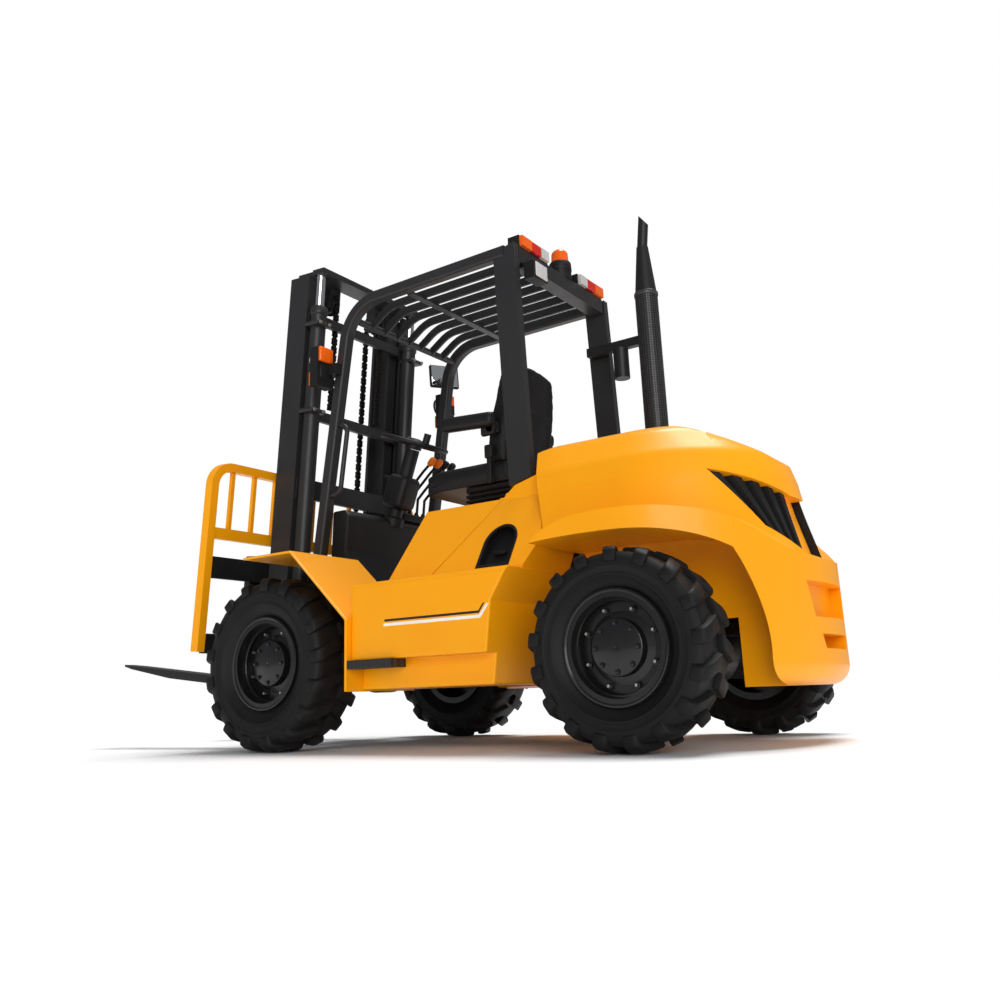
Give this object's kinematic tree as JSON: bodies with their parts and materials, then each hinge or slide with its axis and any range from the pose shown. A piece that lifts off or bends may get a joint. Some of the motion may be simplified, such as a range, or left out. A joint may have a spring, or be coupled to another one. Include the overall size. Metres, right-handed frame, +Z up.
{
  "type": "rough terrain forklift truck",
  "caption": "Rough terrain forklift with a tilting two-stage mast, wide load backrest, open overhead guard, lugged tyres and rear-wheel steering.",
  "frame": {"origin": "on the ground under the middle of the overall length and width", "axes": "+X forward, the way the forks point; +Y to the operator's left; +Z up"},
  "size_m": [4.1582, 1.811, 2.7925],
  "materials": {
    "body_paint": "gloss industrial enamel, orange yellow",
    "dark_paint": "satin charcoal enamel",
    "frame_paint": "satin black enamel",
    "rim_paint": "gloss black enamel",
    "tyre_rubber": "moulded black rubber",
    "cast_block": "painted castings",
    "chrome_rod": "hard chrome",
    "chain_steel": "oiled steel",
    "seat_vinyl": "black grained vinyl",
    "black_plastic": "moulded black plastic",
    "amber_plastic": "clear amber acrylic",
    "clear_plastic": "clear acrylic",
    "red_plastic": "clear red acrylic",
    "fork_steel": "black painted forged steel"
  },
  "bodies": {
    "chassis": {"guard_side_left": "dark_paint", "guard_side_right": "dark_paint", "front_axle": "frame_paint", "rear_axle": "frame_paint", "chassis_frame": "frame_paint", "powertrain": "cast_block", "side_tanks": "body_paint", "front_fenders": "body_paint", "tread_plates": "frame_paint", "dash_cowl": "black_plastic", "dash_controls": "black_plastic", "rear_side_panels": "body_paint", "counterweight": "body_paint", "rear_grille": "black_plastic", "guard_roof": "dark_paint", "lamp_housings": "black_plastic", "amber_lenses": "amber_plastic", "clear_lenses": "clear_plastic", "red_lenses": "red_plastic", "mirror": "black_plastic", "exhaust_stack": "dark_paint", "stack_bracket": "frame_paint"},
    "outer_mast": {"outer_mast": "dark_paint", "lift_barrels": "dark_paint"},
    "inner_mast": {"inner_mast": "dark_paint", "lift_rods": "chrome_rod", "load_chains": "chain_steel", "anchor_chains": "chain_steel"},
    "carriage": {"fork_carriage": "fork_steel", "load_backrest": "body_paint", "forks": "fork_steel"},
    "tilt_barrels": {"tilt_barrels": "dark_paint"},
    "tilt_rods": {"tilt_rods": "chrome_rod"},
    "hood": {"engine_hood": "body_paint", "seat_base": "black_plastic", "seat_cushion": "seat_vinyl", "seat_back": "seat_vinyl"},
    "steering_wheel": {"steering_wheel": "black_plastic"},
    "front_wheel_left": {"front_tyre_left": "tyre_rubber", "front_wheel_left": "rim_paint"},
    "rear_wheel_left": {"rear_tyre_left": "tyre_rubber", "rear_wheel_left": "rim_paint"},
    "knuckle_left": {"knuckle_left": "frame_paint"},
    "front_wheel_right": {"front_tyre_right": "tyre_rubber", "front_wheel_right": "rim_paint"},
    "rear_wheel_right": {"rear_tyre_right": "tyre_rubber", "rear_wheel_right": "rim_paint"},
    "knuckle_right": {"knuckle_right": "frame_paint"}
  },
  "joints": [
    {"name": "mast_tilt", "type": "hinge", "parent": "chassis", "child": "outer_mast", "pos_m": [0.63492, 0, 0.43], "axis": [0, 1, 0], "range_deg": [-5.5, 14.5]},
    {"name": "mast_lift", "type": "slide", "parent": "outer_mast", "child": "inner_mast", "axis": [-0.0785, 0, 0.9969], "range_m": [-0.13, 1.45], "deforming": ["anchor_chains"]},
    {"name": "carriage_lift", "type": "slide", "parent": "inner_mast", "child": "carriage", "axis": [-0.0785, 0, 0.9969], "range_m": [-0.13, 1.45], "deforming": ["load_chains"]},
    {"name": "tilt_barrel_swing", "type": "hinge", "parent": "chassis", "child": "tilt_barrels", "pos_m": [-0.13508, 0, 0.6], "axis": [0, 1, 0], "range_deg": [-0.5, 1.2]},
    {"name": "tilt_rod_stroke", "type": "slide", "parent": "tilt_barrels", "child": "tilt_rods", "axis": [0.9898, 0, 0.1427], "range_m": [-0.03, 0.072]},
    {"name": "hood_lift", "type": "hinge", "parent": "chassis", "child": "hood", "pos_m": [-0.79208, 0, 1.125], "axis": [0, -1, 0], "range_deg": [0, 50]},
    {"name": "steering_wheel_turn", "type": "hinge", "parent": "chassis", "child": "steering_wheel", "pos_m": [0.13992, 0, 1.64], "axis": [-0.3583, 0, 0.9336], "continuous": true},
    {"name": "front_left_spin", "type": "hinge", "parent": "chassis", "child": "front_wheel_left", "pos_m": [0.38492, 0.753, 0.415], "axis": [0, 1, 0], "continuous": true},
    {"name": "steer_left", "type": "hinge", "parent": "chassis", "child": "knuckle_left", "pos_m": [-1.48508, 0.56, 0.388], "axis": [0, 0, 1], "range_deg": [-35, 35]},
    {"name": "rear_left_spin", "type": "hinge", "parent": "knuckle_left", "child": "rear_wheel_left", "pos_m": [-1.48508, 0.726, 0.388], "axis": [0, 1, 0], "continuous": true},
    {"name": "front_right_spin", "type": "hinge", "parent": "chassis", "child": "front_wheel_right", "pos_m": [0.38492, -0.753, 0.415], "axis": [0, 1, 0], "continuous": true},
    {"name": "steer_right", "type": "hinge", "parent": "chassis", "child": "knuckle_right", "pos_m": [-1.48508, -0.56, 0.388], "axis": [0, 0, 1], "range_deg": [-35, 35]},
    {"name": "rear_right_spin", "type": "hinge", "parent": "knuckle_right", "child": "rear_wheel_right", "pos_m": [-1.48508, -0.726, 0.388], "axis": [0, 1, 0], "continuous": true}
  ],
  "couplings": [
    {"joint": "carriage_lift", "follows": "mast_lift", "ratio": 1},
    {"joint": "tilt_barrel_swing", "follows": "mast_tilt", "ratio": 0.075},
    {"joint": "tilt_rod_stroke", "follows": "mast_tilt", "m_per_rad": 0.2725},
    {"joint": "steer_right", "follows": "steer_left", "ratio": 1}
  ]
}
